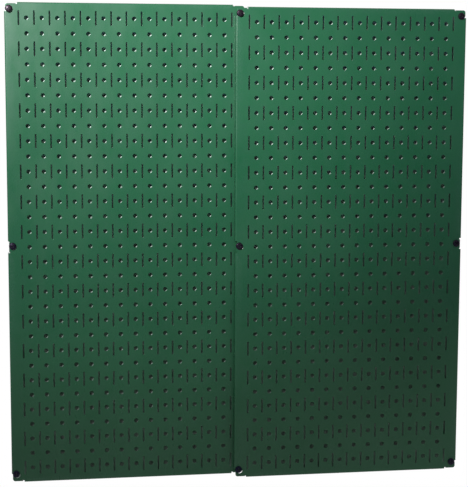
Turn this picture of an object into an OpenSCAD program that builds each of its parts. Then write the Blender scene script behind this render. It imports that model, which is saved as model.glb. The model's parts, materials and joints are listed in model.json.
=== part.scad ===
// A pair of perforated steel tool boards, screwed side by side to a wall.
// Each board is a shallow pan folded from one sheet, with round peg holes and upright slots for
// hooks, shelves and bins. The right board laps over the margin of the left one, and both share
// the middle column of screws.
// Axes: +X to the right, +Z up, the front faces -Y, and the wall's face is the plane y = 0.
// Origin: where the middle screw of the shared column enters the wall.

/* [Hole grid] */
// Distance between neighbouring peg holes, across and up
peg_pitch = 25.4; // [20:0.1:32]
// Diameter of a peg hole
peg_d = 7; // [4:0.1:9]
// Peg holes across one board
peg_cols = 14; // [6:1:20]
// Peg holes up one board, an odd number so that slots start and end the rows
peg_rows = 31; // [11:2:41]
// Length of a slot, end to end
slot_l = 24; // [15:0.5:34]
// Width of a slot
slot_w = 2.5; // [1.5:0.1:4]

/* [Board] */
// From a board's side to its first column of peg holes
side_margin = 35.9; // [33:0.1:45]
// From a board's top or bottom to its first row of peg holes
end_margin = 25.4; // [22:0.1:40]
// Thickness of the steel sheet
sheet_t = 0.9; // [0.6:0.1:1.5]
// Depth of a board, from its front to the edge of its flanges
flange_d = 12.7; // [8:0.1:20]
// Outside radius of the folds
bend_r = 2.7; // [2:0.1:4]

/* [Corners and tabs] */
// Gap along the top and bottom between a board's flange and the side of the next board
lap_gap = 3; // [1:0.5:8]
// From a board's top or bottom to the ends of its side flanges
tab_h = 15; // [12:0.5:22]
// How far the flat tabs reach past the fold lines
tab_lip = 0.7; // [0.2:0.1:1.5]
// Radius of the tabs' corners
tab_r = 4; // [1:0.5:6]
// Opening in a side flange around its middle screw
side_gap = 20; // [16:1:40]
// Width of the relief notch at the end of each flange
relief_w = 2.5; // [1:0.1:3]
// How far the relief notches reach past the fold lines
relief_past = 0.6; // [0.2:0.1:0.9]

/* [Mounting holes] */
// Diameter of the mounting holes
mount_d = 10.5; // [8:0.1:11]
// Flat web between the fold lines at a board's sides and its mounting holes
mount_web = 1.25; // [1.2:0.05:3]
// From a board's top or bottom to the centres of its outer mounting holes
mount_end = 12.7; // [10:0.1:14]
// Gap between a screw and the rim of the hole that hangs on it
seat_gap = 0.1; // [0.05:0.05:0.3]

/* [Screws] */
// Diameter of the screw heads
head_d = 12; // [11.5:0.1:16]
// Height of the screw heads
head_h = 3.6; // [2.8:0.1:5]
// Width of the cross recess, tip to tip
recess_w = 6.4; // [4:0.1:7]
// Width of a wing of the cross recess
recess_t = 1.3; // [0.8:0.1:1.6]
// Depth of the cross recess
recess_d = 2.2; // [1:0.1:2.5]
// Diameter of the shank, and of the thread over its crests
shank_d = 4.8; // [4:0.1:5.5]
// Diameter of the thread at its root
root_d = 3.4; // [2.6:0.1:3.8]
// Distance between neighbouring crests of the thread
thread_pitch = 2.1; // [1.6:0.1:3]
// Length of a screw under its head
screw_l = 50.8; // [45:0.1:60]
// Length of the plain shank under the head
plain_l = 12; // [6:0.5:16]
// Length of the screw's point
point_l = 5; // [3:0.5:7]

/* [Wall anchors] */
// Diameter of an anchor's body
anchor_d = 8; // [7:0.1:10]
// Length of an anchor's body inside the wall
anchor_l = 32; // [28:0.5:40]
// Diameter of an anchor's collar
collar_d = 11; // [10.5:0.1:14]
// Thickness of the collar, which stays in front of the wall
collar_t = 1.2; // [0.8:0.1:2]
// Length of the plain land behind the collar
land_l = 10; // [6:0.5:14]
// Distance between neighbouring ribs behind the land
rib_pitch = 4; // [3:0.5:6]
// Depth of the grooves between the ribs
rib_h = 0.8; // [0.4:0.1:1.2]
// Width of the split across the anchor's far end
split_w = 1.2; // [0.8:0.1:2]
// Gap between the screw's thread and the anchor's bore
bore_gap = 0.1; // [0.05:0.05:0.3]

/* [Hidden] */
$fn = 48;

board_color = [0.12, 0.38, 0.27];
screw_color = [0.07, 0.07, 0.09];
anchor_color = [0.85, 0.84, 0.8];

// How far a cutting solid runs past the face that it cuts
cut = 1;

board_w = (peg_cols - 1) * peg_pitch + 2 * side_margin;
board_h = (peg_rows - 1) * peg_pitch + 2 * end_margin;
mount_side = bend_r + mount_web + mount_d / 2;
mount_x = board_w / 2 - mount_side;
mount_z = board_h / 2 - mount_end;

// Where the flat sheet ends: at the tabs, and at the ends of the top and bottom flanges
tab_inset = bend_r - tab_lip;
tab_w = 2 * mount_side + lap_gap;
relief_d = bend_r + relief_past;

// How far a fold runs on into the flat sheet that it is part of
fold_lap = 0.3;

// How far a hanging board can shift on a screw, and in which direction each column of screws
// lies from the centres of its holes
slack = (mount_d - shank_d) / 2 - seat_gap;
left_angle = 128;
shared_angle = 137;
left_shift = slack * [cos(left_angle), sin(left_angle)];
shared_shift = slack * [cos(shared_angle), sin(shared_angle)];
right_shift = [0, slack / 4];

// Centres of the two boards, across and up: the shared screws touch the top rims of the right
// board's holes and the bottom rims of the left board's
right_at = [mount_x - shared_shift.x, -shared_shift.y];
left_at = [-mount_x - shared_shift.x, shared_shift.y];

// The right board's side flange stands on the front of the left board
left_front = -flange_d;
right_front = -2 * flange_d;

left_screws = [left_at.x - mount_x + left_shift.x, left_at.y + left_shift.y];
right_screws = [right_at.x + mount_x + right_shift.x, right_at.y + right_shift.y];
shared_screws = [0, 0];

// Heights of the screw rows above the middle row
top_row = mount_z;
middle_row = 0;
bottom_row = -mount_z;

// ---- One board, centred on the z axis, with its flange edges on the plane y = 0 ----

module rounded_rectangle(w, h, r) {
    square([w - 2 * r, h], center = true);
    square([w, h - 2 * r], center = true);
    for (x = [-1, 1], y = [-1, 1])
        translate([x * (w / 2 - r), y * (h / 2 - r)])
            circle(r);
}

module peg_holes() {
    for (i = [0 : peg_cols - 1], j = [0 : peg_rows - 1])
        translate([(i - (peg_cols - 1) / 2) * peg_pitch, (j - (peg_rows - 1) / 2) * peg_pitch])
            circle(d = peg_d);
}

module upright_slot() {
    square([slot_w, slot_l - slot_w], center = true);
    for (y = [-1, 1])
        translate([0, y * (slot_l - slot_w) / 2])
            circle(d = slot_w);
}

// Slots stand between the columns of peg holes and outside them, on every second row
module slots() {
    for (i = [0 : peg_cols], j = [0 : 2 : peg_rows - 1])
        translate([(i - peg_cols / 2) * peg_pitch, (j - (peg_rows - 1) / 2) * peg_pitch])
            upright_slot();
}

module mounting_holes() {
    for (x = [-1, 1], z = [-1, 0, 1])
        translate([x * mount_x, z * mount_z])
            circle(d = mount_d);
}

// Lengths of the flanges: one along the top and bottom, two along each side
end_run = board_w - 2 * tab_w;
side_run = board_h / 2 - tab_h - side_gap / 2;
side_run_z = (board_h / 2 - tab_h + side_gap / 2) / 2;

// What a flange of this length takes from the flat sheet: the strip that folds, and a notch
// past each end. The flange's outer face is the line y = 0, and it runs along x.
module fold_cut(run) {
    translate([-run / 2, -bend_r])
        square([run, bend_r + cut]);
    for (x = [-1, 1])
        translate([x * (run + relief_w) / 2 - relief_w / 2, -relief_d])
            square([relief_w, relief_d + cut]);
}

module flat_sheet() {
    difference() {
        rounded_rectangle(board_w - 2 * tab_inset, board_h - 2 * tab_inset, tab_r);
        for (turn = [0, 180])
            rotate(turn) translate([0, board_h / 2]) fold_cut(end_run);
        for (turn = [90, -90], z = [-1, 1])
            translate([0, z * side_run_z]) rotate(turn) translate([0, board_w / 2])
                fold_cut(side_run);
        peg_holes();
        slots();
        mounting_holes();
    }
}

// Section of a fold and its flange: x inwards from the outer face, y back from the front
module fold_section() {
    difference() {
        intersection() {
            translate([bend_r, bend_r]) circle(bend_r);
            square(bend_r);
        }
        translate([bend_r, bend_r]) circle(bend_r - sheet_t);
    }
    translate([0, bend_r]) square([sheet_t, flange_d - bend_r]);
    translate([bend_r, 0]) square([fold_lap, sheet_t]);
}

module side_flange() {
    translate([-board_w / 2, -flange_d, -side_run / 2])
        linear_extrude(side_run) fold_section();
}

module end_flange() {
    translate([-end_run / 2, -flange_d, board_h / 2])
        rotate([0, 90, 0]) linear_extrude(end_run) fold_section();
}

module board() {
    translate([0, sheet_t - flange_d, 0])
        rotate([90, 0, 0]) linear_extrude(sheet_t) flat_sheet();
    for (side = [0, 1], z = [-1, 1])
        mirror([side, 0, 0]) translate([0, 0, z * side_run_z]) side_flange();
    for (end = [0, 1])
        mirror([0, 0, end]) end_flange();
}

module left_board() {
    color(board_color)
        translate([left_at.x, 0, left_at.y]) board();
}

module right_board() {
    color(board_color)
        translate([right_at.x, right_front - left_front, right_at.y]) board();
}

// ---- One screw, along the z axis, with its seat at z = 0 and its head above ----

dome_r = head_h * 0.7;
crests = floor((screw_l - plain_l - point_l) / thread_pitch);
// One crest of the thread: shares of the pitch down the shank, and of the thread's height
thread_form = [[0.3, 0], [0.5, 0], [0.8, 1], [1, 1]];
thread_end = plain_l + (crests + thread_form[0][0]) * thread_pitch;

// Outline of the turned screw: x is the radius, y the height above the seat
dome_points = [
    for (a = [90 : -15 : 0])
        [head_d / 2 - dome_r + dome_r * cos(a), head_h - dome_r + dome_r * sin(a)]];
thread_points = [
    for (i = [0 : crests - 1], p = thread_form)
        [(root_d + p[1] * (shank_d - root_d)) / 2, -plain_l - (i + p[0]) * thread_pitch]];

module screw() {
    difference() {
        rotate_extrude()
            polygon(concat(
                [[0, head_h]],
                dome_points,
                [[head_d / 2, 0], [shank_d / 2, 0], [shank_d / 2, -plain_l]],
                thread_points,
                [[root_d / 2, -thread_end], [0, -screw_l]]));
        translate([0, 0, head_h - recess_d])
            for (turn = [0, 90])
                rotate(turn) translate([-recess_w / 2, -recess_t / 2, 0])
                    cube([recess_w, recess_t, recess_d + cut]);
    }
}

// A screw at a place across and up, with its seat on the front of the board that it holds
module screw_at(column, row, front) {
    color(screw_color)
        translate([column.x, front, column.y + row])
            rotate([90, 0, 0]) screw();
}

// ---- One wall anchor, along the z axis, with the wall's face at z = 0 and its collar above ----

ribs = floor((anchor_l - land_l) / rib_pitch);
anchor_bore = shank_d / 2 + bore_gap;

rib_points = [
    for (i = [0 : ribs - 1])
        each [
            [anchor_d / 2 - rib_h, -land_l - i * rib_pitch],
            [anchor_d / 2, -land_l - (i + 1) * rib_pitch]]];

module anchor() {
    difference() {
        rotate_extrude()
            polygon(concat(
                [[anchor_bore, collar_t], [collar_d / 2, collar_t], [collar_d / 2, 0],
                 [anchor_d / 2, 0], [anchor_d / 2, -land_l]],
                rib_points,
                [[anchor_d / 2 - rib_h, -anchor_l], [anchor_bore, -anchor_l]]));
        translate([-anchor_d, -split_w / 2, -anchor_l - cut])
            cube([2 * anchor_d, split_w, anchor_l - land_l + cut]);
    }
}

module anchor_at(column, row) {
    color(anchor_color)
        translate([column.x, 0, column.y + row])
            rotate([90, 0, 0]) anchor();
}

module screw_left_top() { screw_at(left_screws, top_row, left_front); }
module screw_left_middle() { screw_at(left_screws, middle_row, left_front); }
module screw_left_bottom() { screw_at(left_screws, bottom_row, left_front); }
module screw_shared_top() { screw_at(shared_screws, top_row, right_front); }
module screw_shared_middle() { screw_at(shared_screws, middle_row, right_front); }
module screw_shared_bottom() { screw_at(shared_screws, bottom_row, right_front); }
module screw_right_top() { screw_at(right_screws, top_row, right_front); }
module screw_right_middle() { screw_at(right_screws, middle_row, right_front); }
module screw_right_bottom() { screw_at(right_screws, bottom_row, right_front); }

module anchor_left_top() { anchor_at(left_screws, top_row); }
module anchor_left_middle() { anchor_at(left_screws, middle_row); }
module anchor_left_bottom() { anchor_at(left_screws, bottom_row); }
module anchor_shared_top() { anchor_at(shared_screws, top_row); }
module anchor_shared_middle() { anchor_at(shared_screws, middle_row); }
module anchor_shared_bottom() { anchor_at(shared_screws, bottom_row); }
module anchor_right_top() { anchor_at(right_screws, top_row); }
module anchor_right_middle() { anchor_at(right_screws, middle_row); }
module anchor_right_bottom() { anchor_at(right_screws, bottom_row); }

left_board();
right_board();
screw_left_top();
screw_left_middle();
screw_left_bottom();
screw_shared_top();
screw_shared_middle();
screw_shared_bottom();
screw_right_top();
screw_right_middle();
screw_right_bottom();
anchor_left_top();
anchor_left_middle();
anchor_left_bottom();
anchor_shared_top();
anchor_shared_middle();
anchor_shared_bottom();
anchor_right_top();
anchor_right_middle();
anchor_right_bottom();
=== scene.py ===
import json
from math import atan2, ceil, cos, floor, pi, radians, sin, sqrt, tau

import bmesh
import bpy
from mathutils import Euler, Matrix, Vector
from mathutils.geometry import delaunay_2d_cdt

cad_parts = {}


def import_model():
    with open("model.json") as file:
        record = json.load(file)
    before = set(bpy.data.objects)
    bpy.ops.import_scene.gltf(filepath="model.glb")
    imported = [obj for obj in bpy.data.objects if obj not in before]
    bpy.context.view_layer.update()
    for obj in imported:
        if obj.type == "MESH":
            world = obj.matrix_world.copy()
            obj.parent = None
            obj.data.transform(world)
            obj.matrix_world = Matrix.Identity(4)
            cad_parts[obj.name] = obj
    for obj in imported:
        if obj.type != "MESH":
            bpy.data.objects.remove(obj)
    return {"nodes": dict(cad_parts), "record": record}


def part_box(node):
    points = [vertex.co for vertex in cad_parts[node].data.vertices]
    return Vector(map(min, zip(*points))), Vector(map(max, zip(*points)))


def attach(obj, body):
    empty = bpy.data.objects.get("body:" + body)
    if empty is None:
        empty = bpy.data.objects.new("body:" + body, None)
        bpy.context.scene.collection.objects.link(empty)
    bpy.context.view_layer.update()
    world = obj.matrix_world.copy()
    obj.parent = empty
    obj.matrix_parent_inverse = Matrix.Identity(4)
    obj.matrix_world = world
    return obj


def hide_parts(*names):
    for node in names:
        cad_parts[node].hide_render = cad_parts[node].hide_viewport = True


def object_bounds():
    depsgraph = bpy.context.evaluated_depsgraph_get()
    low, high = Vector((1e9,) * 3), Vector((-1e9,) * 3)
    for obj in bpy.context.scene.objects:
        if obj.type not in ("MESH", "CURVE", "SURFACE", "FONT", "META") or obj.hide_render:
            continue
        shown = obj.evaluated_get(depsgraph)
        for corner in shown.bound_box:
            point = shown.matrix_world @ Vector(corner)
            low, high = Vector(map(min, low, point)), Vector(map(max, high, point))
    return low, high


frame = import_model()
cad_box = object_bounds()
record = frame["record"]
mounts = {mount["name"]: mount for mount in record["mounts"]}

MM = 0.001
BACK = Vector((0, 1, 0))
FRONT = Vector((0, -1, 0))

# ---- Sizes of a board, in metres. What the record states is read from it. ----

peg_grid = mounts["left_peg_corners"]["dims"]
PEG_R = peg_grid["hole_r_mm"] * MM
PEG_SPAN_X = peg_grid["spacing_x_mm"] * MM
PEG_SPAN_Z = peg_grid["spacing_y_mm"] * MM
PITCH = mounts["left_peg_pitch"]["dims"]["spacing_x_mm"] * MM
slot_grid = mounts["left_slots_left"]["dims"]
SLOT_R = slot_grid["hole_r_mm"] * MM
SLOT_L = slot_grid["slot_length_mm"] * MM

board_low, board_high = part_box("left_board")
BOARD_W, FLANGE_D, BOARD_H = board_high - board_low
HALF_W = BOARD_W / 2
HALF_H = BOARD_H / 2

SHEET_T = 0.9 * MM
BEND_R = 2.7 * MM
TAB_H = 15 * MM
TAB_W = 21.4 * MM
TAB_INSET = 2 * MM
TAB_R = 4 * MM
SIDE_GAP = 20 * MM
RELIEF_W = 2.5 * MM
RELIEF_D = 3.3 * MM
MOUNT_R = 5.25 * MM
MOUNT_FROM_SIDE = 9.2 * MM
MOUNT_FROM_END = 12.7 * MM

# How far the edges of the punched holes are rolled over, and the sheet's other cut edges
HOLE_RIM = 0.42 * MM
RIM = 0.28 * MM

PEG_SEGMENTS = 24
SLOT_END_SEGMENTS = 10
MOUNT_SEGMENTS = 40
FOLD_SEGMENTS = 8
TAB_SEGMENTS = 8

# Normal of a face at 45 degrees, and the cosine over which two edges count as one smooth curve
SLANT = sqrt(0.5)
SMOOTH_BEND = 0.9

# ---- Materials ----


class Nodes:
    """Short calls for building one material's node tree."""

    def __init__(self, name):
        self.material = bpy.data.materials.new(name)
        self.material.use_nodes = True
        self.tree = self.material.node_tree
        self.tree.nodes.clear()
        self.output = self.tree.nodes.new("ShaderNodeOutputMaterial")

    def add(self, kind, **settings):
        node = self.tree.nodes.new("ShaderNode" + kind)
        for name, value in settings.items():
            setattr(node, name, value)
        return node

    def link(self, source, target):
        self.tree.links.new(source, target)

    def place(self):
        """Where a point is in the row frame, in metres."""
        return self.add("TexCoord").outputs["Object"]

    def noise(self, scale, detail=2.0, roughness=0.5, stretch=None):
        """Noise with `scale` features to the metre, drawn out along an axis where stretch is given."""
        node = self.add("TexNoise")
        node.inputs["Scale"].default_value = scale
        node.inputs["Detail"].default_value = detail
        node.inputs["Roughness"].default_value = roughness
        where = self.place()
        if stretch:
            mapping = self.add("Mapping")
            mapping.inputs["Scale"].default_value = stretch
            self.link(where, mapping.inputs["Vector"])
            where = mapping.outputs["Vector"]
        self.link(where, node.inputs["Vector"])
        return node.outputs["Fac"]

    def remap(self, value, low, high, to_low=0.0, to_high=1.0):
        node = self.add("MapRange", clamp=True)
        for name, number in (("From Min", low), ("From Max", high), ("To Min", to_low), ("To Max", to_high)):
            node.inputs[name].default_value = number
        self.link(value, node.inputs["Value"])
        return node.outputs["Result"]

    def maths(self, operation, a, b):
        node = self.add("Math", operation=operation)
        for socket, value in zip(node.inputs, (a, b)):
            if isinstance(value, (int, float)):
                socket.default_value = value
            else:
                self.link(value, socket)
        return node.outputs["Value"]

    def blend(self, factor, a, b):
        """Colour a where factor is 0, and b where it is 1."""
        node = self.add("Mix", data_type="RGBA")
        self.link(factor, node.inputs["Factor"])
        for name, value in (("A", a), ("B", b)):
            socket = [s for s in node.inputs if s.name == name and s.type == "RGBA"][0]
            if isinstance(value, tuple):
                socket.default_value = (*value, 1)
            else:
                self.link(value, socket)
        return [s for s in node.outputs if s.type == "RGBA"][0]

    def bump(self, height, distance, strength=1.0, below=None):
        """A bump of `distance` metres for a height from 0 to 1, on top of another bump's normal."""
        node = self.add("Bump")
        node.inputs["Distance"].default_value = distance
        node.inputs["Strength"].default_value = strength
        self.link(height, node.inputs["Height"])
        if below:
            self.link(below, node.inputs["Normal"])
        return node.outputs["Normal"]

    def attribute(self, name):
        return self.add("Attribute", attribute_name=name).outputs["Fac"]

    def principled(self, color, roughness, normal, **uniform):
        shader = self.add("BsdfPrincipled")
        for name, value in (("Base Color", color), ("Roughness", roughness), ("Normal", normal)):
            self.link(value, shader.inputs[name])
        for name, value in uniform.items():
            shader.inputs[name.replace("_", " ")].default_value = value
        self.link(shader.outputs["BSDF"], self.output.inputs["Surface"])
        return self.material


def powder_coat():
    """Satin green powder coat: orange peel, slight waves, cloudy colour, dusty places, and lighter paint
    along the edges that is partly rubbed paint and partly a painted edge highlight.
    """
    n = Nodes("green_powder_coat")
    clouds = n.remap(n.noise(9, 3.0), 0.3, 0.7)
    color = n.blend(clouds, (0.013, 0.104, 0.044), (0.021, 0.121, 0.055))
    mottle = n.remap(n.noise(70, 2.0), 0.35, 0.65, 0.0, 0.3)
    color = n.blend(mottle, color, (0.026, 0.110, 0.062))
    # Lighter paint on hole rims, cut edges and the middle of the bends: partly rubbed paint, partly a
    # painted edge highlight.
    rubbed_and_highlit = n.remap(n.attribute("rim"), 0.2, 1.0, 0.0, 0.35)
    rubbed_and_highlit = n.maths("MULTIPLY", rubbed_and_highlit, n.remap(n.noise(400, 2.0), 0.4, 0.6))
    color = n.blend(rubbed_and_highlit, color, (0.075, 0.165, 0.12))
    smudges = n.noise(22, 4.0, 0.6, (1, 1, 0.45))
    roughness = n.remap(smudges, 0.35, 0.7, 0.26, 0.36)
    waves = n.bump(n.noise(11, 1.0, 0.4, (1, 1, 0.5)), 0.5 * MM)
    peel = n.bump(n.noise(520, 2.0, 0.45), 0.03 * MM, below=waves)
    grain = n.bump(n.noise(2600, 1.0, 0.5), 0.006 * MM, below=peel)
    return n.principled(color, roughness, grain)


def black_oxide():
    """Blackened steel with a bluish or brownish cast that differs from screw to screw."""
    n = Nodes("black_steel")
    cast = n.add("ObjectInfo").outputs["Random"]
    color = n.blend(cast, (0.003, 0.004, 0.038), (0.016, 0.003, 0.012))
    patches = n.remap(n.noise(900, 3.0), 0.4, 0.65, 0.0, 0.5)
    color = n.blend(patches, color, (0.008, 0.008, 0.014))
    worn = n.maths("MULTIPLY", n.attribute("wear"), n.remap(n.noise(1500, 2.0), 0.42, 0.6))
    color = n.blend(worn, color, (0.11, 0.11, 0.115))
    roughness = n.remap(n.noise(1200, 3.0), 0.3, 0.7, 0.26, 0.44)
    normal = n.bump(n.noise(2200, 3.0, 0.6), 0.012 * MM)
    return n.principled(color, roughness, normal, Metallic=0.55)


def anchor_nylon():
    """Pale moulded nylon, slightly cloudy and translucent."""
    n = Nodes("anchor_plastic")
    color = n.blend(n.remap(n.noise(160, 3.0), 0.3, 0.7), (0.56, 0.55, 0.50), (0.66, 0.65, 0.61))
    scuffs = n.remap(n.noise(700, 3.0, 0.6, (1, 0.3, 1)), 0.58, 0.72, 0.0, 0.4)
    color = n.blend(scuffs, color, (0.44, 0.42, 0.38))
    roughness = n.remap(n.noise(500, 2.0), 0.3, 0.7, 0.42, 0.58)
    normal = n.bump(n.noise(1500, 2.0), 0.02 * MM)
    return n.principled(color, roughness, normal, Subsurface_Weight=0.15, Subsurface_Scale=1.5 * MM)


# ---- Mesh building ----


class Surface:
    """Gathers faces with a normal and a rim value at every corner, and joins corners that coincide."""

    SAME = 1e-7

    def __init__(self):
        self.index = {}
        self.places = []
        self.rims = []
        self.faces = []
        self.normals = []

    def vertex(self, place, rim):
        key = tuple(round(c / self.SAME) for c in place)
        if key not in self.index:
            self.index[key] = len(self.places)
            self.places.append(tuple(place))
            self.rims.append(rim)
        return self.index[key]

    def face(self, *corners):
        """Each corner is (place, normal, rim). Corners at the same place count once, and the face is
        turned so that it looks the way its normals do."""
        indices, normals = [], []
        for place, normal, rim in corners:
            i = self.vertex(place, rim)
            if i not in indices:
                indices.append(i)
                normals.append(normal)
        if len(indices) < 3:
            return
        a, b, c = (Vector(self.places[i]) for i in indices[:3])
        if (b - a).cross(c - a).dot(sum(normals, Vector())) < 0:
            indices.reverse()
            normals.reverse()
        self.faces.append(indices)
        self.normals.extend(normals)

    def band(self, upper, lower, closed=True):
        """Joins two rows of corners by quads."""
        count = len(upper)
        for i in range(count if closed else count - 1):
            k = (i + 1) % count
            self.face(upper[i], lower[i], lower[k], upper[k])

    def mesh(self, name):
        mesh = bpy.data.meshes.new(name)
        mesh.from_pydata(self.places, [], self.faces)
        attribute = mesh.attributes.new("rim", "FLOAT", "POINT")
        attribute.data.foreach_set("value", self.rims)
        mesh.polygons.foreach_set("use_smooth", [True] * len(self.faces))
        mesh.normals_split_custom_set([tuple(normal) for normal in self.normals])
        return mesh


def at(x, z, depth):
    """A point of a board: x and z from its centre, depth back from its front."""
    return (x, depth, z)


def turned(x, z, quarter):
    """A point of a board turned by quarter turns, anticlockwise as seen from the front."""
    for _ in range(quarter % 4):
        x, z = -z, x
    return x, z


# ---- Outlines: lists of (x, z, outward x, outward z), anticlockwise as seen from the front ----


def circle(cx, cz, radius, segments):
    angles = [tau * i / segments for i in range(segments)]
    return [(cx + radius * cos(a), cz + radius * sin(a), cos(a), sin(a)) for a in angles]


def stadium(cx, cz, radius, length, segments):
    points = []
    for turn, end in ((0, 1), (pi, -1)):
        for i in range(segments + 1):
            a = turn + pi * i / segments
            end_z = cz + end * (length / 2 - radius)
            points.append((cx + radius * cos(a), end_z + radius * sin(a), cos(a), sin(a)))
    return points


def widened(outline, by):
    return [(x + by * ox, z + by * oz, ox, oz) for x, z, ox, oz in outline]


def cut_edge(rim):
    """Section of a rounded cut edge from the sheet's front to its back, as (share of the way from the flat
    to the cut, depth, normal across, normal back, wear). The wear value lightens the paint on the edge:
    partly rubbed paint, partly a painted edge highlight."""
    front_half = (
        (0, 0, 0, -1, 0.0),
        (SLANT, rim * (1 - SLANT), SLANT, -SLANT, 1.0),
        (1, rim, 1, 0, 1.0),
    )
    back_half = [
        (share, SHEET_T - depth, across, -back, wear)
        for share, depth, across, back, wear in reversed(front_half)
    ]
    return [*front_half, *back_half]


def hole_rim(surface, outline, rim):
    """The wall of a hole through the sheet, rounded at its front and back."""
    rows = []
    for share, depth, inward, back, wear in cut_edge(rim):
        rows.append([
            (at(x, z, depth), Vector((-ox * inward, back, -oz * inward)), wear)
            for x, z, ox, oz in widened(outline, rim * (1 - share))
        ])
    for upper, lower in zip(rows, rows[1:]):
        surface.band(upper, lower)


def flat_triangle(surface, a, b, c):
    """One triangle of the sheet, on its front and on its back. Its corners run anticlockwise."""
    surface.face(*((at(*p, 0), FRONT, 0.0) for p in (a, b, c)))
    surface.face(*((at(*p, SHEET_T), BACK, 0.0) for p in (c, b, a)))


def cell(surface, cx, cz, outline):
    """One cell of the hole grid: the sheet between its four corners and the hole's outline."""
    signs = ((1, 1), (-1, 1), (-1, -1), (1, -1))
    corners = [(cx + sx * PITCH / 4, cz + sz * PITCH / 2) for sx, sz in signs]
    if outline is None:
        flat_triangle(surface, corners[0], corners[1], corners[2])
        flat_triangle(surface, corners[0], corners[2], corners[3])
        return
    ring = [(x, z) for x, z, _, _ in widened(outline, HOLE_RIM)]
    count = len(ring)
    quarters = []
    for i in range(count):
        mid_x = (ring[i][0] + ring[(i + 1) % count][0]) / 2 - cx
        mid_z = (ring[i][1] + ring[(i + 1) % count][1]) / 2 - cz
        quarters.append(floor((atan2(mid_z, mid_x) % tau) / (pi / 2) + 1e-6) % 4)
    for i in range(count):
        flat_triangle(surface, ring[i], corners[quarters[i]], ring[(i + 1) % count])
        if quarters[i] != quarters[i - 1]:
            flat_triangle(surface, corners[quarters[i - 1]], corners[quarters[i]], ring[i])
    hole_rim(surface, outline, HOLE_RIM)


def hole_grid(surface):
    """Cells of peg holes, with cells of slots between them on every second row."""
    columns = round(2 * PEG_SPAN_X / PITCH) + 3
    rows = round(PEG_SPAN_Z / PITCH) + 1
    for i in range(columns):
        cx = (i - (columns - 1) / 2) * PITCH / 2
        for k in range(rows):
            cz = (k - (rows - 1) / 2) * PITCH
            if i % 2:
                outline = circle(cx, cz, PEG_R, PEG_SEGMENTS)
            elif k % 2 == 0:
                outline = stadium(cx, cz, SLOT_R, SLOT_L, SLOT_END_SEGMENTS)
            else:
                outline = None
            cell(surface, cx, cz, outline)
    return columns * PITCH / 4, rows * PITCH / 2


SIDE_RUN = (SIDE_GAP / 2, HALF_H - TAB_H)
END_RUN = (-(HALF_W - TAB_W), HALF_W - TAB_W)


def quarter_outline():
    """Edge of the flat sheet from the middle of the right side to the middle of the top, as
    (x, z, inset), where the inset is how far the rounding of the edge reaches into the sheet."""
    tab_x = HALF_W - TAB_INSET
    tab_z = HALF_H - TAB_INSET
    fold_x = HALF_W - BEND_R
    fold_z = HALF_H - BEND_R
    notch_x = HALF_W - RELIEF_D
    notch_z = HALF_H - RELIEF_D
    low, high = SIDE_RUN
    end = END_RUN[1]
    points = [(tab_x, 0, RIM), (tab_x, low - RELIEF_W, RIM)]
    points += [(notch_x, low - RELIEF_W, RIM), (notch_x, low, RIM)]
    points += [(fold_x, low, 0), (fold_x, high, 0)]
    points += [(notch_x, high, RIM), (notch_x, high + RELIEF_W, RIM), (tab_x, high + RELIEF_W, RIM)]
    for i in range(TAB_SEGMENTS + 1):
        a = pi / 2 * i / TAB_SEGMENTS
        points.append((tab_x - TAB_R * (1 - cos(a)), tab_z - TAB_R * (1 - sin(a)), RIM))
    points += [(end + RELIEF_W, tab_z, RIM), (end + RELIEF_W, notch_z, RIM), (end, notch_z, RIM)]
    points += [(end, fold_z, 0)]
    return points


def sheet_outline():
    """The whole edge of the flat sheet, anticlockwise: four quarters, each a mirror of the last."""
    quarter = quarter_outline()
    upper = quarter + [(-x, z, inset) for x, z, inset in reversed(quarter)]
    lower = [(-x, -z, inset) for x, z, inset in upper[1:-1]]
    return upper + lower


def edge_normals(points):
    """Outward normal of each edge of a closed outline, from each point to the next."""
    normals = []
    for (x0, z0, _), (x1, z1, _) in zip(points, points[1:] + points[:1]):
        length = sqrt((x1 - x0) ** 2 + (z1 - z0) ** 2)
        normals.append(((z1 - z0) / length, (x0 - x1) / length))
    return normals


def sheet_edge(surface, points):
    """The cut edge round the flat sheet, rounded at its front and back. It gives the inset outline."""
    normals = edge_normals(points)
    inner = []
    for i, (x, z, inset) in enumerate(points):
        (ax, az), (bx, bz) = normals[i - 1], normals[i]
        scale = inset / (1 + ax * bx + az * bz)
        inner.append((x - scale * (ax + bx), z - scale * (az + bz)))
    count = len(points)
    for i in range(count):
        k = (i + 1) % count
        if points[i][2] == 0 and points[k][2] == 0:
            continue
        ends = []
        for j, other in ((i, i - 1), (k, k)):
            ox, oz = normals[i]
            bend = ox * normals[other][0] + oz * normals[other][1]
            if bend > SMOOTH_BEND:
                ox, oz = ox + normals[other][0], oz + normals[other][1]
                length = sqrt(ox * ox + oz * oz)
                ox, oz = ox / length, oz / length
            ends.append((j, ox, oz))
        rows = []
        for share, depth, out, back, rim in cut_edge(RIM):
            row = []
            for j, ox, oz in ends:
                x = inner[j][0] + share * (points[j][0] - inner[j][0])
                z = inner[j][1] + share * (points[j][1] - inner[j][1])
                where = depth
                if points[j][2] == 0:
                    where = 0 if depth < SHEET_T / 2 else SHEET_T
                row.append((at(x, z, where), Vector((ox * out, back, oz * out)), rim))
            rows.append(row)
        for upper, lower in zip(rows, rows[1:]):
            surface.face(upper[0], lower[0], lower[1], upper[1])
    return inner


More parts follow.
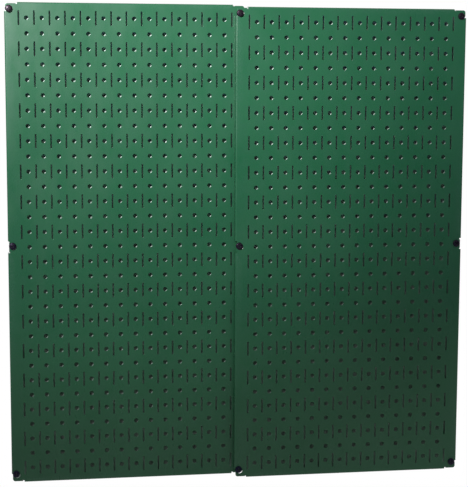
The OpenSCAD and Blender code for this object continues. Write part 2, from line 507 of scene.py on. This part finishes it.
def margin(surface, grid_x, grid_z, points):
    """The sheet between the hole grid and the folds, with the mounting holes."""
    inner = sheet_edge(surface, points)
    columns = round(4 * grid_x / PITCH)
    rows = round(2 * grid_z / PITCH)
    frame_loop = [(-grid_x + i * PITCH / 2, -grid_z) for i in range(columns)]
    frame_loop += [(grid_x, -grid_z + k * PITCH) for k in range(rows)]
    frame_loop += [(-x, -z) for x, z in frame_loop]
    holes = []
    for side in (-1, 1):
        for z in (-1, 0, 1):
            cx = side * (HALF_W - MOUNT_FROM_SIDE)
            cz = z * (HALF_H - MOUNT_FROM_END)
            outline = circle(cx, cz, MOUNT_R, MOUNT_SEGMENTS)
            hole_rim(surface, outline, RIM)
            holes.append((cx, cz, [(x, z) for x, z, _, _ in widened(outline, RIM)]))
    places, edges = [], []
    for loop in [inner, frame_loop] + [ring for _, _, ring in holes]:
        first = len(places)
        places += loop
        edges += [(first + i, first + (i + 1) % len(loop)) for i in range(len(loop))]
    _, _, triangles, origins, _, _ = delaunay_2d_cdt([Vector(p) / MM for p in places], edges, [], 0, 1e-6)
    for triangle in triangles:
        corners = [places[origins[i][0]] for i in triangle]
        x = sum(c[0] for c in corners) / 3
        z = sum(c[1] for c in corners) / 3
        in_grid = abs(x) < grid_x and abs(z) < grid_z
        in_hole = any((x - cx) ** 2 + (z - cz) ** 2 < (MOUNT_R + RIM) ** 2 for cx, cz, _ in holes)
        if in_grid or in_hole or not inside(inner, x, z):
            continue
        flat_triangle(surface, *corners)


def inside(loop, x, z):
    """Whether a point is inside a closed outline."""
    crossings = 0
    for (x0, z0), (x1, z1) in zip(loop, loop[1:] + loop[:1]):
        if (z0 > z) != (z1 > z) and x < x0 + (x1 - x0) * (z - z0) / (z1 - z0):
            crossings += 1
    return crossings % 2 == 1


def fold_profile():
    """Section of a fold and its flange: (outward, depth, normal outward, normal back, rim), from the
    sheet's front over the flange's edge to the sheet's back. Outward is from the fold line."""
    out, back = [], []
    for i in range(FOLD_SEGMENTS + 1):
        a = pi / 2 * i / FOLD_SEGMENTS
        # Lighter paint along the middle of the bend's outside: partly rubbed paint, partly a painted
        # highlight.
        wear = 0.35 * sin(2 * a)
        out.append((BEND_R * sin(a), BEND_R * (1 - cos(a)), sin(a), -cos(a), wear))
        inner_r = BEND_R - SHEET_T
        back.insert(0, (inner_r * sin(a), BEND_R - inner_r * cos(a), -sin(a), cos(a), 0.0))
    edge = []
    for side in (1, -1):
        middle = BEND_R - SHEET_T / 2
        half = SHEET_T / 2
        round_off = RIM * (1 - SLANT)
        corner = [(half, RIM, 1, 0), (half - round_off, round_off, SLANT, SLANT), (half - RIM, 0, 0, 1)]
        corner = [(middle + side * w, FLANGE_D - up, side * nw, nb, 1.0) for w, up, nw, nb in corner]
        edge += corner if side == 1 else corner[::-1]
    return out, edge, back


def flange(surface, quarter, half, run):
    """A fold and its flange on the side that faces right after quarter turns, along a run of it."""
    out, edge, back = fold_profile()

    def corner(point, along, normal=None):
        away, depth, n_out, n_back, rim = point
        x, z = turned(half - BEND_R + away, along, quarter)
        if normal is None:
            nx, nz = turned(n_out, 0, quarter)
            normal = Vector((nx, n_back, nz))
        return (at(x, z, depth), normal, rim)

    profile = out + edge + back
    for a, b in zip(profile, profile[1:]):
        surface.face(corner(a, run[0]), corner(b, run[0]), corner(b, run[1]), corner(a, run[1]))
    for along, facing in ((run[0], -1), (run[1], 1)):
        nx, nz = turned(0, facing, quarter)
        normal = Vector((nx, 0, nz))
        strips = [[a, b, c, d] for a, b, c, d in zip(out, out[1:], back[::-1][1:], back[::-1])]
        strips.append([out[-1]] + edge + [back[0]])
        for strip in strips:
            ordered = strip if facing == -1 else strip[::-1]
            surface.face(*(corner(point, along, normal) for point in ordered))


def board_mesh():
    """One board, centred on x and z, with its front at depth 0."""
    surface = Surface()
    grid_x, grid_z = hole_grid(surface)
    margin(surface, grid_x, grid_z, sheet_outline())
    for quarter in (0, 2):
        flange(surface, quarter, HALF_W, SIDE_RUN)
        flange(surface, quarter, HALF_W, (-SIDE_RUN[1], -SIDE_RUN[0]))
    for quarter in (1, 3):
        flange(surface, quarter, HALF_H, END_RUN)
    return surface.mesh("board")


def piece(name, mesh, material, node, place=None):
    """A piece that stands for a CAD node and rides on the one body."""
    obj = bpy.data.objects.new(name, mesh)
    bpy.context.scene.collection.objects.link(obj)
    if not mesh.materials:
        mesh.materials.append(material)
    obj.matrix_world = place or Matrix()
    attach(obj, "root")
    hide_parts(node)
    return obj


def boards(material):
    """Both boards, each where the CAD has it. Each has its own mesh in the row frame's coordinates."""
    shape = board_mesh()
    for side in ("left", "right"):
        low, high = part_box(f"{side}_board")
        mesh = shape.copy()
        mesh.transform(Matrix.Translation(((low.x + high.x) / 2, low.y, (low.z + high.z) / 2)))
        piece(f"{side}_pegboard", mesh, material, f"{side}_board")
    bpy.data.meshes.remove(shape)


# ---- Screws ----

HEAD_R = 6 * MM
HEAD_H = 3.6 * MM
CROWN_H = 0.35 * MM
CROWN_R = 3.9 * MM
HEAD_EDGE = 1.1 * MM
SHANK_R = 2.4 * MM
ROOT_R = 1.7 * MM
PLAIN_L = 12 * MM
SCREW_L = 50.8 * MM
POINT_L = 8 * MM
THREAD_PITCH = 2.1 * MM
SCREW_SEGMENTS = 48
THREAD_STEPS = 10
THREAD_CREST = 0.12
THREAD_RISE = 0.34
SHARP_ANGLE = radians(38)

# Turn from one screw's recess to the next, so that no two stand alike
GOLDEN_TURN = pi * (3 - sqrt(5))


def head_profile():
    """Outline of the head from its crown to its seat, as (radius, height)."""
    points = [(0, HEAD_H)]
    for i in range(1, 5):
        share = i / 4
        points.append((CROWN_R * share, HEAD_H - CROWN_H * share**2))
    steps = 8
    drop = HEAD_H - CROWN_H - HEAD_EDGE
    for i in range(1, steps + 1):
        a = pi / 2 * i / steps
        points.append((CROWN_R + (HEAD_R - CROWN_R) * sin(a), HEAD_EDGE + drop * cos(a)))
    points += [(HEAD_R, 0.2 * MM), (HEAD_R - 0.2 * MM, 0), (SHANK_R + 0.3 * MM, 0), (SHANK_R, -0.3 * MM)]
    points.append((SHANK_R, -PLAIN_L))
    return points


def thread_height(turns):
    """Height of the thread above its root, from 0 to 1, at a number of turns along it."""
    away = abs(turns % 1 - 0.5)
    return min(1.0, max(0.0, 1 - (away - THREAD_CREST / 2) / THREAD_RISE))


def thread_radius(depth, angle):
    """Radius of the threaded shank at a depth under the seat, in one direction."""
    into = depth - PLAIN_L
    runout = min(1, into / THREAD_PITCH)
    point = min(1, (SCREW_L - depth) / POINT_L)
    height = thread_height(into / THREAD_PITCH + angle / tau)
    root = SHANK_R + (ROOT_R - SHANK_R) * runout
    return (root + (SHANK_R - root) * height) * sqrt(point)


def recess_wing(turn):
    """One tapered wing of the cross recess, as a closed solid."""
    wing = bmesh.new()
    places = []
    for depth, length, width in ((-0.5 * MM, 3.5 * MM, 0.70 * MM), (2.3 * MM, 1.35 * MM, 0.45 * MM)):
        for x, y in ((-1, -1), (1, -1), (1, 1), (-1, 1)):
            places.append(Vector((x * length, y * width, HEAD_H - depth)))
    verts = [wing.verts.new(Matrix.Rotation(turn, 3, "Z") @ p) for p in places]
    for corners in ((0, 1, 2, 3), (7, 6, 5, 4), (0, 4, 5, 1), (1, 5, 6, 2), (2, 6, 7, 3), (3, 7, 4, 0)):
        wing.faces.new([verts[i] for i in corners])
    bmesh.ops.recalc_face_normals(wing, faces=wing.faces)
    mesh = bpy.data.meshes.new("recess_wing")
    wing.to_mesh(mesh)
    wing.free()
    obj = bpy.data.objects.new("recess_wing", mesh)
    bpy.context.scene.collection.objects.link(obj)
    return obj


def turned_solid():
    """The screw before its recess is cut, along z with its seat at height 0."""
    shape = bmesh.new()
    rows = []
    for radius, height in head_profile()[1:]:
        angles = [tau * i / SCREW_SEGMENTS for i in range(SCREW_SEGMENTS)]
        rows.append([shape.verts.new((radius * cos(a), radius * sin(a), height)) for a in angles])
    steps = ceil((SCREW_L - PLAIN_L) / THREAD_PITCH * THREAD_STEPS)
    for i in range(1, steps):
        depth = PLAIN_L + (SCREW_L - PLAIN_L) * i / steps
        row = []
        for k in range(SCREW_SEGMENTS):
            angle = tau * k / SCREW_SEGMENTS
            radius = thread_radius(depth, angle)
            row.append(shape.verts.new((radius * cos(angle), radius * sin(angle), -depth)))
        rows.append(row)
    for upper, lower in zip(rows, rows[1:]):
        for k in range(SCREW_SEGMENTS):
            m = (k + 1) % SCREW_SEGMENTS
            shape.faces.new((upper[k], lower[k], lower[m], upper[m]))
    crown = shape.verts.new((0, 0, HEAD_H))
    tip = shape.verts.new((0, 0, -SCREW_L))
    for k in range(SCREW_SEGMENTS):
        m = (k + 1) % SCREW_SEGMENTS
        shape.faces.new((crown, rows[0][k], rows[0][m]))
        shape.faces.new((tip, rows[-1][m], rows[-1][k]))
    mesh = bpy.data.meshes.new("pan_screw")
    shape.to_mesh(mesh)
    shape.free()
    obj = bpy.data.objects.new("pan_screw", mesh)
    bpy.context.scene.collection.objects.link(obj)
    return obj


def screw_mesh():
    """The whole screw: the turned solid less the two wings of its recess."""
    solid = turned_solid()
    wings = [recess_wing(turn) for turn in (0, pi / 2)]
    for wing in wings:
        cut = solid.modifiers.new("recess", "BOOLEAN")
        cut.operation = "DIFFERENCE"
        cut.solver = "EXACT"
        cut.object = wing
    evaluated = solid.evaluated_get(bpy.context.evaluated_depsgraph_get())
    mesh = bpy.data.meshes.new_from_object(evaluated)
    for obj in [solid] + wings:
        bpy.data.objects.remove(obj)
    shape = bmesh.new()
    shape.from_mesh(mesh)
    wear = shape.verts.layers.float.new("wear")
    for face in shape.faces:
        face.smooth = True
    for edge in shape.edges:
        sharp = len(edge.link_faces) == 2 and edge.calc_face_angle() > SHARP_ANGLE
        edge.smooth = not sharp
        if sharp and edge.verts[0].co.z > 0:
            for vert in edge.verts:
                vert[wear] = 1.0
    shape.to_mesh(mesh)
    shape.free()
    return mesh


def screws(material):
    """A screw for each CAD screw, its seat on the board and its recess turned its own way."""
    mesh = screw_mesh()
    names = [node for node in frame["nodes"] if node.startswith("screw_")]
    for i, node in enumerate(sorted(names)):
        low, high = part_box(node)
        place = (
            Matrix.Translation(((low.x + high.x) / 2, low.y + HEAD_H, (low.z + high.z) / 2))
            @ Matrix.Rotation(pi / 2, 4, "X")
            @ Matrix.Rotation(i * GOLDEN_TURN, 4, "Z")
        )
        piece(f"pan_{node}", mesh, material, node, place)


def anchors(material):
    for name, node in frame["nodes"].items():
        if name.startswith("anchor_"):
            node.data.materials.clear()
            node.data.materials.append(material)


# ---- Stage: wall, floor, world, lamps and camera ----

centre = sum((Vector(corner) for corner in cad_box), Vector()) / 2
left_low, left_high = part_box("left_board")
right_low, right_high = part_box("right_board")
front = right_low.y

LAMP_DISTANCE = 2.3
LAMP_LEFT = 1.1
LAMP_UP = 0.98
LAMP_R = 0.05
FLOOR_HALF = 3.0
FLOOR_DROP = 0.35
BACKING_INSET = 1.5 * MM
BACKING_GAP = 0.3 * MM


def rectangle(name, corners, material):
    mesh = bpy.data.meshes.new(name)
    mesh.from_pydata(corners, [], [range(len(corners))])
    mesh.materials.append(material)
    obj = bpy.data.objects.new(name, mesh)
    bpy.context.scene.collection.objects.link(obj)
    return obj


def plaster():
    """Pale green wall paint that is there only for what comes from the front, so that the boards' backs
    can be seen and lit from behind."""
    n = Nodes("wall_paint")
    paint = n.add("BsdfDiffuse")
    paint.inputs["Color"].default_value = (0.62, 0.74, 0.68, 1)
    clear = n.add("BsdfTransparent")
    passed = n.add("LightPath").outputs["Transparent Depth"]
    behind = n.maths("MAXIMUM", n.add("NewGeometry").outputs["Backfacing"], passed)
    mix = n.add("MixShader")
    n.link(n.maths("MINIMUM", behind, 1.0), mix.inputs[0])
    n.link(paint.outputs[0], mix.inputs[1])
    n.link(clear.outputs[0], mix.inputs[2])
    n.link(mix.outputs[0], n.output.inputs["Surface"])
    return n.material


def wall():
    """Backing right behind the flange edges of each board."""
    paint = plaster()
    for name, x0, board_low, board_high in (
        ("left_backing", left_low.x, left_low, left_high),
        ("right_backing", left_high.x, right_low, right_high),
    ):
        x0, x1 = x0 + BACKING_INSET, board_high.x - BACKING_INSET
        z0, z1 = board_low.z + BACKING_INSET, board_high.z - BACKING_INSET
        y = board_high.y + BACKING_GAP
        rectangle(name, [(x0, y, z0), (x1, y, z0), (x1, y, z1), (x0, y, z1)], paint)


def floor_paint():
    """Pale floor that fades into the white background with distance."""
    n = Nodes("floor_paint")
    paint = n.add("BsdfDiffuse")
    paint.inputs["Color"].default_value = (0.78, 0.78, 0.78, 1)
    white = n.add("Emission")
    middle = n.add("VectorMath", operation="LENGTH")
    n.link(n.place(), middle.inputs[0])
    fade = n.remap(middle.outputs["Value"], 0.5, 1.0)
    fade = n.maths("MULTIPLY", fade, n.add("LightPath").outputs["Is Camera Ray"])
    mix = n.add("MixShader")
    n.link(fade, mix.inputs[0])
    n.link(paint.outputs[0], mix.inputs[1])
    n.link(white.outputs[0], mix.inputs[2])
    n.link(mix.outputs[0], n.output.inputs["Surface"])
    return n.material


def floor_plane():
    corners = [(x * FLOOR_HALF, y * FLOOR_HALF, 0) for x, y in ((-1, -1), (1, -1), (1, 1), (-1, 1))]
    obj = rectangle("floor", corners, floor_paint())
    obj.location = (centre.x, centre.y, cad_box[0][2] - FLOOR_DROP)


def world():
    """White as the camera sees it. Its light from the front is grey from above, dark straight ahead and
    blue from below, and it is brighter from behind."""
    scene_world = bpy.data.worlds.new("studio")
    bpy.context.scene.world = scene_world
    scene_world.use_nodes = True
    tree = scene_world.node_tree
    tree.nodes.clear()

    def add(kind):
        return tree.nodes.new("ShaderNode" + kind)

    split = add("SeparateXYZ")
    tree.links.new(add("TexCoord").outputs["Generated"], split.inputs[0])
    def ramp(axis, low, high):
        node = add("MapRange")
        node.inputs["From Min"].default_value = low
        node.inputs["From Max"].default_value = high
        tree.links.new(split.outputs[axis], node.inputs["Value"])
        return node.outputs["Result"]

    def mix(factor, first, second):
        node = add("MixRGB")
        tree.links.new(factor, node.inputs["Fac"])
        for socket, value in (("Color1", first), ("Color2", second)):
            if isinstance(value, tuple):
                node.inputs[socket].default_value = (*value, 1)
            else:
                tree.links.new(value, node.inputs[socket])
        return node.outputs["Color"]

    low = mix(ramp("Z", -0.34, -0.12), (0.08, 0.25, 0.95), (0.03, 0.06, 0.04))
    room = mix(ramp("Z", 0.15, 0.45), low, (0.44, 0.44, 0.44))
    room = mix(ramp("Y", -0.2, 0.6), room, (0.8, 0.8, 0.8))
    seen = mix(add("LightPath").outputs["Is Camera Ray"], room, (1.0, 1.0, 1.0))
    background = add("Background")
    tree.links.new(seen, background.inputs["Color"])
    tree.links.new(background.outputs["Background"], add("OutputWorld").inputs["Surface"])


def soft_spot(name, aim_x, aim_z, strength, spread):
    """A small lamp at the upper left whose pool of light fades out from its aim."""
    place = Vector((centre.x - LAMP_LEFT, front - LAMP_DISTANCE, centre.z + LAMP_UP))
    aim = Vector((centre.x + aim_x, front, centre.z + aim_z))
    lamp = bpy.data.lights.new(name, "SPOT")
    lamp.energy = strength * 4 * pi**2 * LAMP_DISTANCE**2
    lamp.spot_size = 2 * spread
    lamp.spot_blend = 1.0
    lamp.shadow_soft_size = LAMP_R
    obj = bpy.data.objects.new(name, lamp)
    obj.location = place
    obj.rotation_euler = (aim - place).to_track_quat("-Z", "Y").to_euler()
    bpy.context.scene.collection.objects.link(obj)


def lamps():
    soft_spot("key_narrow", -0.27, 0.24, 0.87, 0.222)
    soft_spot("key_wide", -0.13, 1.07, 1.86, 0.464)


def camera():
    """A long lens, a little above and to the left of the boards."""
    turn = radians(8.737)
    rise = radians(6.92)
    roll = radians(0.2)
    distance = 2.283
    aim = Vector((centre.x - 0.0111, front, centre.z + 0.0044))
    lens = bpy.data.cameras.new("camera")
    lens.lens = 102.6
    lens.sensor_width = 36
    lens.sensor_fit = "HORIZONTAL"
    obj = bpy.data.objects.new("camera", lens)
    look = Euler((pi / 2 - rise, 0, -turn)).to_matrix().to_4x4() @ Matrix.Rotation(roll, 4, "Z")
    obj.matrix_world = Matrix.Translation(aim) @ look @ Matrix.Translation((0, 0, distance))
    bpy.context.scene.collection.objects.link(obj)
    bpy.context.scene.camera = obj


boards(powder_coat())
screws(black_oxide())
anchors(anchor_nylon())
wall()
floor_plane()
world()
lamps()
camera()
bpy.context.scene.view_settings.view_transform = "Standard"
